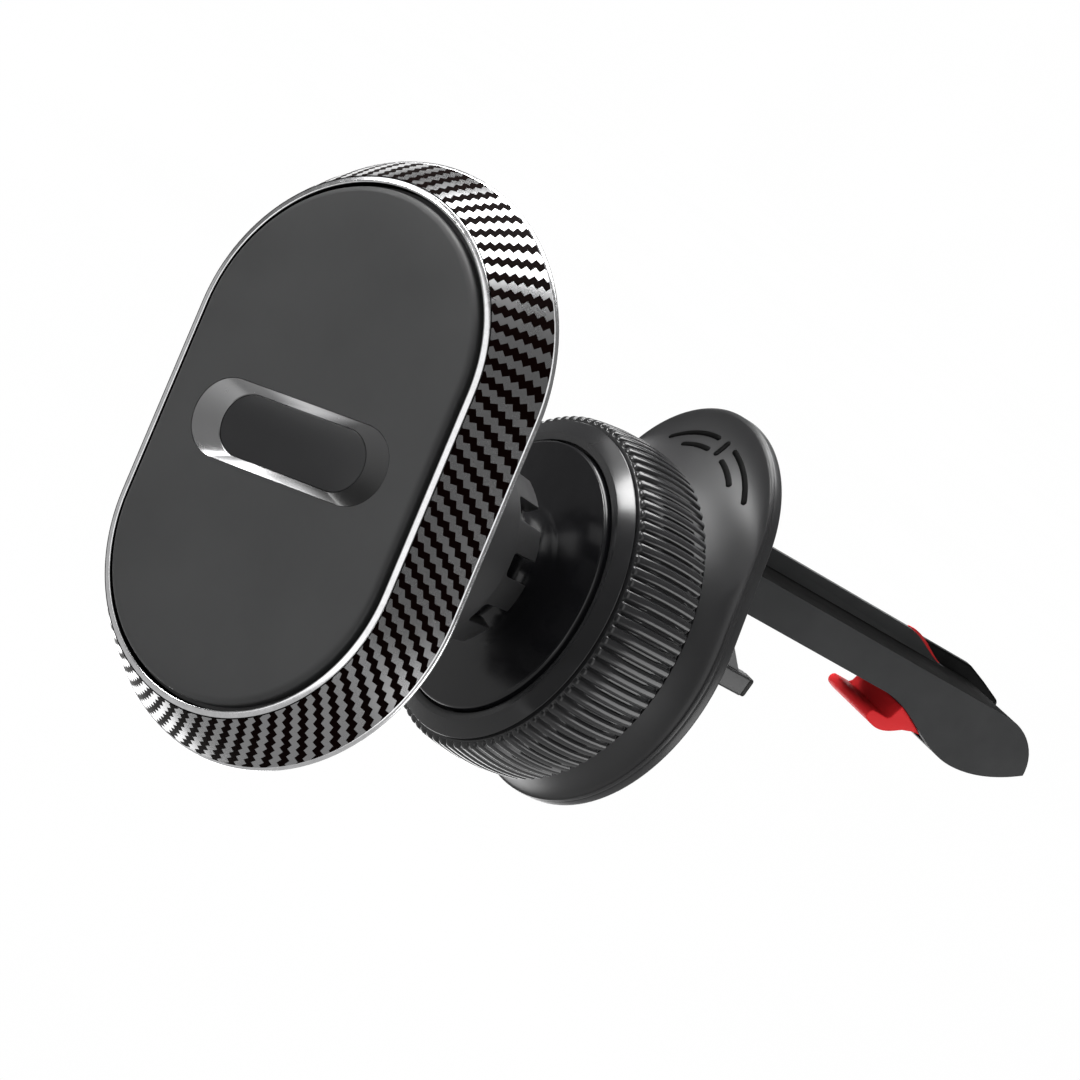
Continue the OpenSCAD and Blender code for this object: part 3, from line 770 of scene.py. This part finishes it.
def plate_outline(t, count=160):
    """Base circle, tab circle and the straight sides between them; t is 0 at the neck, 1 at the rim."""
    base, tab, rise = NECK_R + (BASE_R - NECK_R) * t, NECK_R + (TAB_R - NECK_R) * t, TAB_Y * t
    lean = math.asin((BASE_R - TAB_R) / TAB_Y)
    half = count // 2
    outline = []
    for k in range(half):
        a = lean + (math.pi - 2 * lean) * k / (half - 1)
        outline.append((tab * math.cos(a), rise + tab * math.sin(a)))
    for k in range(half):
        a = math.pi - lean + (math.pi + 2 * lean) * k / (half - 1)
        outline.append((base * math.cos(a), base * math.sin(a)))
    return outline


def flank(steps):
    """The hollow flank as (share of the outline, height), from the rim up to the neck."""
    shares = [k / steps for k in range(1, steps + 1)]
    return [(RIM_SHARE * (1 - share), PLATE_SEAM + RIM_T + PLATE_RISE * share * share)
            for share in shares]


def build_plate():
    """Support plate: a thin drafted rim, a tab above, and a hollow flank up to the neck."""
    rows = [(0.994, PLATE_SEAM + 0.02), (1.0, PLATE_SEAM + 0.08), (0.998, PLATE_SEAM + 0.2),
            (0.982, PLATE_SEAM + 0.38), (0.965, PLATE_SEAM + 0.47), (RIM_SHARE, PLATE_SEAM + RIM_T)]
    rows += flank(24)
    count = 160
    points = [(x, y, z) for t, z in rows for x, y in plate_outline(t, count)]
    inner = [math.atan2(y, x) for x, y in plate_outline(0, count)]
    for z in (PLATE_FRONT, PLATE_SEAM + 0.02):
        points += [(WELL_R * math.cos(a), WELL_R * math.sin(a), z) for a in inner]
    total = len(rows) + 2
    faces = []
    for i in range(total):
        j = (i + 1) % total
        for k in range(count):
            m = (k + 1) % count
            faces.append((i * count + k, i * count + m, j * count + m, j * count + k))
    return points, faces


def plate_height(x, y):
    """Height of the tab's front surface over a point, found by narrowing in on its outline."""
    low, high = 0.0, 1.0
    for _ in range(30):
        t = (low + high) / 2
        if math.hypot(x, y - TAB_Y * t) < NECK_R + (TAB_R - NECK_R) * t:
            high = t
        else:
            low = t
    share = 1 - min(1.0, high / RIM_SHARE)
    return PLATE_SEAM + RIM_T + PLATE_RISE * share * share


def ridge(path, half_width=0.36, height=0.16):
    """A low rounded ridge that follows a path over the tab, with round ends."""
    section = [(-1.0, -0.6), (-0.92, 0.3), (-0.6, 0.8), (0.0, 1.0), (0.6, 0.8), (0.92, 0.3),
               (1.0, -0.6)]
    n, count = len(section), len(path)
    points = []
    for i, (x, y) in enumerate(path):
        ahead, behind = Vector(path[min(i + 1, count - 1)]), Vector(path[max(i - 1, 0)])
        side = (ahead - behind).orthogonal().normalized()
        near = min((Vector(end) - Vector((x, y))).length for end in (path[0], path[-1]))
        scale = math.sqrt(max(0.02, 1 - max(0.0, 1 - near / half_width) ** 2))
        for sideways, up in section:
            reach = sideways * half_width * scale
            px, py = x + side.x * reach, y + side.y * reach
            points.append((px, py, plate_height(px, py) + up * height * scale))
    faces = [tuple(range(n)), tuple(range((count - 1) * n, count * n))]
    for i in range(count - 1):
        for k in range(n):
            m = (k + 1) % n
            faces.append((i * n + k, (i + 1) * n + k, (i + 1) * n + m, i * n + m))
    return points, faces


def at_screw(k):
    """Where the plate's screw number k goes, in the knob frame."""
    a = math.pi * (0.25 + 0.5 * k)
    return Matrix.Translation((SCREW_CIRCLE * math.cos(a), SCREW_CIRCLE * math.sin(a), 0))


def foot_outline(middle, inset, corner):
    """Section of a foot, drawn in by an inset and with rounded corners."""
    left, right = middle - FOOT_W + inset, middle + FOOT_W - inset
    low, high = FOOT_LOW + inset, FOOT_HIGH - inset
    return rounded([(left, low, corner), (right, low, corner), (right, high, corner),
                    (left, high, corner)], 4)


def finish_plate():
    """Cuts the screw holes and raises the tab's mark: spreading arcs, like a field of a magnet, painted
    near-black as shade.
    """
    piece = mesh_from("support_flange", build_plate(), KNOB)
    for k in range(4):
        hole = sweep([(0.0, 9.0), (0.86, 9.0), (0.86, 14.0), (0.0, 14.0)], stations_round(32))
        cut(piece, hole, KNOB @ at_screw(k))
    dress(piece, "base", "support_plate", PLATE_MATERIAL, 30)
    mark = []
    for r, spread in ((13.4, 46), (11.6, 32)):
        for start, end in ((90 - spread, 83), (97, 90 + spread)):
            mark.append(ridge(arc_points(0, TAB_Y, r, start, end, 40)))
    mark.append(ridge([(0, 24.7 + 0.05 * k) for k in range(49)], 0.45))
    # The raised mark is painted near-black as the shade of lettering cut into the tab.
    raised = mesh_from("tab_mark", joined(*mark), KNOB)
    dress(raised, "base", "support_plate", PAINTED_SHADE_BLACK, 40)


def build_back_plate():
    """Back plate with the two feet and their props, edges broken."""
    piece = mesh_from("back_flange", prism(plate_outline(1.0), PLATE_REAR, PLATE_SEAM - 0.02), KNOB)
    bevel(piece, 0.28, 3, 60)
    for sx in (-1, 1):
        foot_block = prism(foot_outline(FOOT_X * sx, 0, 0.3), 0.8, PLATE_REAR + 0.3)
        cut(piece, foot_block, KNOB, "UNION")
        side = rounded([(2.2, 5.7, 0), (PLATE_REAR + 0.3, 5.7, 0), (PLATE_REAR + 0.3, 12.0, 0),
                        (PLATE_REAR - 0.1, 12.0, 0)], 3)
        points, faces = prism(side, FOOT_X * sx - 0.65, FOOT_X * sx + 0.65)
        cut(piece, ([(z, y, x) for x, y, z in points], faces), KNOB, "UNION")
    slot_box = prism([(-5.0, 10.9), (5.0, 10.9), (5.0, 16.1), (-5.0, 16.1)], 5.0, 20.0)
    cut(piece, slot_box, KNOB)
    cut(piece, sweep([(0.0, 8.0), (3.6, 8.0), (3.6, PLATE_REAR + 1), (2.05, PLATE_REAR + 1),
                      (2.05, 15.0), (0.0, 15.0)], stations_round(64)), KNOB)
    for k in range(4):
        well = sweep([(0.0, 8.0), (1.9, 8.0), (1.9, PLATE_REAR + 0.8), (1.0, PLATE_REAR + 0.8),
                      (1.0, 14.0), (0.0, 14.0)], stations_round(32))
        cut(piece, well, KNOB @ at_screw(k))
    dress(piece, "base", "back_plate", PLATE_MATERIAL, 30)
    tips = [prism(foot_outline(FOOT_X * sx, 0.05, 0.35), 0.0, 0.79) for sx in (-1, 1)]
    pads = mesh_from("foot_pads", joined(*tips), KNOB)
    bevel(pads, 0.2, 3, 60)
    dress(pads, "base", "foot_tips", RUBBER, 40)


# ---- hook ----
def half_wave(t):
    """An S-shaped step from 0 to 1."""
    return (1 - math.cos(math.pi * t)) / 2


def hook_outline():
    """Side outline of the hook: distance behind the feet's tips, and height."""
    outline = [(-2.95, ARM_TOP), (-2.95, ARM_LOW)]
    outline += [(27 + 16.5 * k / 24, ARM_LOW - 4.3 * half_wave(k / 24)) for k in range(25)]
    outline += [(43.5 + 11.8 * k / 16, 6.6 + 3.5 * (k / 16) ** 2) for k in range(1, 17)]
    outline += [(NOSE_Y + 8.4 * math.cos(math.radians(a)), 9.2 + 6.6 * math.sin(math.radians(a)))
                for a in range(13, 91, 7)]
    return outline


def rail_outline():
    """Side outline of the raised rail, which falls away in an S-curve over the hook."""
    outline = [(-2.95, ARM_TOP - 1), (-2.95, RAIL_TOP - 0.3), (-2.65, RAIL_TOP), (FALL_Y, RAIL_TOP)]
    outline += [(FALL_Y + FALL_LENGTH * k / 14, RAIL_TOP - (RAIL_TOP - ARM_TOP) * half_wave(k / 14))
                for k in range(1, 15)]
    return outline + [(FALL_Y + FALL_LENGTH, ARM_TOP - 1)]


def flatten(piece, angle=0.6):
    """Merges faces that lie in one plane, so that a bevel runs along clean edges."""
    shaped = bmesh.new()
    shaped.from_mesh(piece.data)
    bmesh.ops.remove_doubles(shaped, verts=shaped.verts, dist=2e-7)
    bmesh.ops.dissolve_limit(shaped, angle_limit=math.radians(angle), verts=shaped.verts,
                             edges=shaped.edges)
    shaped.to_mesh(piece.data)
    shaped.free()
    return piece


def pin_hole():
    """The jaw pin's hole, from the far side to inside the near side, and where it goes."""
    hole = sweep([(0.0, -12.0), (0.81, -12.0), (0.81, 4.8), (0.0, 4.8)], stations_round(32))
    turn = Matrix.Translation((0, JAW_Y + 9.6, 12.2)) @ Matrix.Rotation(math.pi / 2, 4, "Y")
    return hole, turn


def build_arm():
    """Hook arm: a bar that swells into the hook's nose, with a thin rail on its far side; its top faces
    get painted shade.
    """
    piece = mesh_from("hook_bar", across(hook_outline(), -ARM_W / 2, ARM_W / 2))
    cut(piece, across(rail_outline(), -ARM_W / 2, -ARM_W / 2 + 1.2), ROW, "UNION")
    flatten(piece)
    bevel(piece, 0.4, 4, 50)
    pocket = prism([(-3.05, 12.15), (3.05, 12.15), (3.05, 14.65), (-3.05, 14.65)], -9.1, 11.0)
    cut(piece, pocket, KNOB)
    for y in (1, 6):
        hole = sweep([(0.0, 9.9), (1.85, 9.9), (1.85, ARM_LOW), (1.7, ARM_LOW + 0.15), (1.7, 11.6),
                      (0.85, 11.6), (0.85, 15.2), (0.0, 15.2)], stations_round(40))
        cut(piece, hole, Matrix.Translation((0, y, 0)))
    stem = [(JAW_Y + 4.4, 5.0), (JAW_Y + 4.4, 13.6), (JAW_Y + 12, 13.6), (JAW_Y + 12, 5.0)]
    cut(piece, across(stem, -JAW_W / 2 + 0.6, JAW_W / 2 - 0.6))
    cut(piece, *pin_hole())
    dress(piece, "hook", "hook_arm", HOOK_MATERIAL, 30)
    # Top faces and the nose's back get the painted shade.
    piece.data.materials.append(ARM_TOP_SHADE)
    for face in piece.data.polygons:
        upper = face.center.z > 9.6 * MM and face.normal.z > -0.2 and abs(face.normal.x) < 0.5
        if upper and face.center.x > -4.4 * MM:
            face.material_index = 1


def build_cheek():
    """Flat cheek on the far side of the hook, painted near-black as the shade inside the hook."""
    outline = rounded([(28, 11.4, 0.8), (28, 15.2, 1.5), (33.2, 17.6, 3.0), (47, 17.6, 2.5),
                       (50.6, 16.6, 2.0), (54.9, 15.2, 1.0), (55.0, 10.6, 1.0), (49.4, 7.9, 2.0),
                       (44.5, 6.9, 2.5), (36, 8.8, 3.0)], 6)
    piece = mesh_from("far_cheek", across(outline, -ARM_W / 2 - 1.5, -ARM_W / 2 - 0.02))
    bevel(piece, 0.3, 3, 60)
    cut(piece, *pin_hole())
    dress(piece, "hook", "hook_cheek", PAINTED_SHADE_BLACK, 30)


def jaw_outline():
    """Side outline of the jaw: a lip, a floor and an end wall, open towards the driver."""
    below = []
    for k in range(17):
        t = k / 16
        below.append((JAW_Y + 0.35 + 8.4 * t,
                      6.75 - 0.75 * math.sin(math.pi * min(1, t * 1.35)) + 1.4 * t * t))
    lip = arc_points(JAW_Y + 0.8, 7.35, 0.72, 100, 240, 8)
    inside = [(JAW_Y + 8.9, 9.3), (JAW_Y + 4.2, 10.3), (JAW_Y + 3.7, 8.4), (JAW_Y + 3.3, 8.05)]
    return lip + below[1:] + inside


def build_jaw():
    """Red jaw liner with its stem inside the arm, and its edge along the end of the rail."""
    piece = mesh_from("jaw_liner", across(jaw_outline(), -JAW_W / 2, JAW_W / 2))
    cut(piece, across(hook_outline(), -JAW_W, JAW_W))
    bevel(piece, 0.3, 4, 50)
    stem = rounded([(JAW_Y + 4.45, 8.4, 0), (JAW_Y + 4.45, 13.5, 0.5), (JAW_Y + 11.9, 13.5, 0.5),
                    (JAW_Y + 11.9, 8.2, 0.3), (JAW_Y + 9, 7.9, 0)], 3)
    cut(piece, across(stem, -JAW_W / 2 + 0.65, JAW_W / 2 - 0.65), ROW, "UNION")
    cut(piece, *pin_hole())
    dress(piece, "hook", "jaw", JAW_MATERIAL, 40)
    curve = [(FALL_Y + FALL_LENGTH * k / 20, RAIL_TOP - (RAIL_TOP - ARM_TOP) * half_wave(k / 20),
              k / 20) for k in range(1, 20)]
    strip = [(y, z - 0.4) for y, z, _ in curve]
    strip += [(y, z + 0.55 * math.sin(math.pi * t)) for y, z, t in reversed(curve)]
    edge = mesh_from("jaw_far_edge", across(strip, -ARM_W / 2 + 0.02, -ARM_W / 2 + 0.32))
    dress(edge, "hook", "jaw", JAW_MATERIAL, 40)


build_pad()
build_badge()
build_rims()
build_sleeve()
build_cover()
build_collet()
build_stud()
build_bezel()
build_grip()
finish_plate()
build_back_plate()
build_arm()
build_cheek()
build_jaw()

# ---- pieces that keep their CAD meshes ----
KEPT = {
    "magnet_tray": HOUSING, "magnets": NICKEL, "yoke_plate": STEEL, "head_screws": STEEL,
    "collet_screws": STEEL, "ball_seat": SEAT, "seat_cushion": SEAT, "hub": KNOB_MATERIAL,
    "hub_bolt": STEEL, "plate_screws": STEEL, "thrust_washer": NYLON, "knob_nut": KNOB_MATERIAL,
    "hook_carrier": HOOK_MATERIAL, "jaw_pin": STEEL, "arm_screws": STEEL,
}
for node_name, material in KEPT.items():
    for material_slot in frame["nodes"][node_name].material_slots:
        material_slot.material = material

# ---- floor, light and camera ----
AIM = Vector((-13.17, -16.88, 3.15)) * MM
DISTANCE = 410.3 * MM
AZIMUTH, ELEVATION, ROLL = math.radians(53.29), math.radians(8.44), math.radians(35.1)
SENSOR_MM = 36.0
LENS_MM = 112.0


def add_camera():
    """Camera at the photograph's viewing angle: to the right of the driver's side, rolled."""
    back = Vector((math.sin(AZIMUTH) * math.cos(ELEVATION), -math.cos(AZIMUTH) * math.cos(ELEVATION),
                   math.sin(ELEVATION)))
    data = bpy.data.cameras.new("view")
    data.sensor_width = SENSOR_MM
    data.lens = LENS_MM
    data.clip_start = 0.01
    data.clip_end = 20
    camera = bpy.data.objects.new("view", data)
    bpy.context.scene.collection.objects.link(camera)
    turn = (-back).to_track_quat("-Z", "Y").to_matrix().to_4x4()
    roll = Matrix.Rotation(ROLL, 4, "Z")
    camera.matrix_world = Matrix.Translation(AIM + back * DISTANCE) @ turn @ roll
    bpy.context.scene.camera = camera
    return camera


def add_world(strength):
    """Even white surroundings."""
    world = bpy.data.worlds.new("studio")
    world.use_nodes = True
    background = world.node_tree.nodes["Background"]
    background.inputs["Color"].default_value = (1, 1, 1, 1)
    background.inputs["Strength"].default_value = strength
    bpy.context.scene.world = world


def add_panel(name, toward, distance, width, height, radiance):
    """A soft panel in a direction given in the camera's axes; sizes are in metres."""
    data = bpy.data.lights.new(name, "AREA")
    data.shape = "RECTANGLE"
    data.size, data.size_y = width, height
    data.energy = radiance * width * height * math.pi
    light = bpy.data.objects.new(name, data)
    bpy.context.scene.collection.objects.link(light)
    axes = view.matrix_world.to_3x3()
    light.location = AIM + axes @ Vector(toward).normalized() * distance
    light.rotation_euler = (AIM - light.location).to_track_quat("-Z", "Y").to_euler()
    light.visible_camera = False
    return light


def glowing(name, strength):
    """A plain pale surface of even brightness, with the faintest mottling."""
    material = bpy.data.materials.new(name)
    material.use_nodes = True
    tree = material.node_tree
    tree.nodes.clear()
    surface = tree.nodes.new("ShaderNodeEmission")
    output = tree.nodes.new("ShaderNodeOutputMaterial")
    level = ranged(tree, noise(tree, 8, 2), 0.3, 0.7, strength * 0.995, strength)
    link(tree, level, surface.inputs["Strength"])
    link(tree, surface.outputs["Emission"], output.inputs["Surface"])
    return material


def backdrop(piece, material, seen):
    """Marks a surface as stage: seen by the camera only, or only by what it lights."""
    piece.data.materials.append(material)
    piece.visible_camera = seen
    piece.visible_shadow = False
    for name in ("visible_diffuse", "visible_glossy", "visible_transmission"):
        setattr(piece, name, not seen)


view = add_camera()
add_world(0.16)
add_panel("overhead", (0.40, 0.90, -0.07), 0.6, 0.62, 0.46, 8.6)
add_panel("behind", (0.0, 0.02, -1.0), 0.6, 0.62, 0.62, 1.6)
add_panel("front_fill", (-0.35, 0.2, 0.9), 0.9, 1.2, 1.2, 0.9)
add_panel("high_front", (-0.46, 0.87, 0.20), 0.9, 0.24, 0.2, 22.0)
add_panel("side", (0.70, -0.70, 0.15), 0.9, 0.6, 0.6, 3.0)
add_panel("low_left", (-0.47, -0.38, -0.78), 0.5, 0.36, 0.36, 2.0)
add_panel("upper_left", (-0.35, 0.93, -0.08), 0.9, 0.36, 0.3, 1.7)
add_panel("left", (-0.93, -0.37, 0.0), 0.9, 0.36, 0.36, 1.5)

FLOOR_LOW = -50.0
BOUNCE_LOW = -450.0
FLOOR_HALF = 4000.0
floor_outline = [(-FLOOR_HALF, -FLOOR_HALF), (FLOOR_HALF, -FLOOR_HALF),
                 (FLOOR_HALF, FLOOR_HALF), (-FLOOR_HALF, FLOOR_HALF)]
floor = mesh_from("floor", prism(floor_outline, FLOOR_LOW - 5, FLOOR_LOW))
backdrop(floor, glowing("floor_seen", 1.0), True)
bounce = mesh_from("floor_bounce", prism(floor_outline, BOUNCE_LOW - 5, BOUNCE_LOW))
backdrop(bounce, glowing("floor_bounce", 0.45), False)
wall = mesh_from("wall", sweep([(FLOOR_HALF, FLOOR_LOW), (FLOOR_HALF, FLOOR_HALF),
                                (0.0, FLOOR_HALF)], stations_round(64), closed=False))
backdrop(wall, glowing("wall_seen", 1.0), True)

bpy.context.scene.view_settings.view_transform = "Standard"
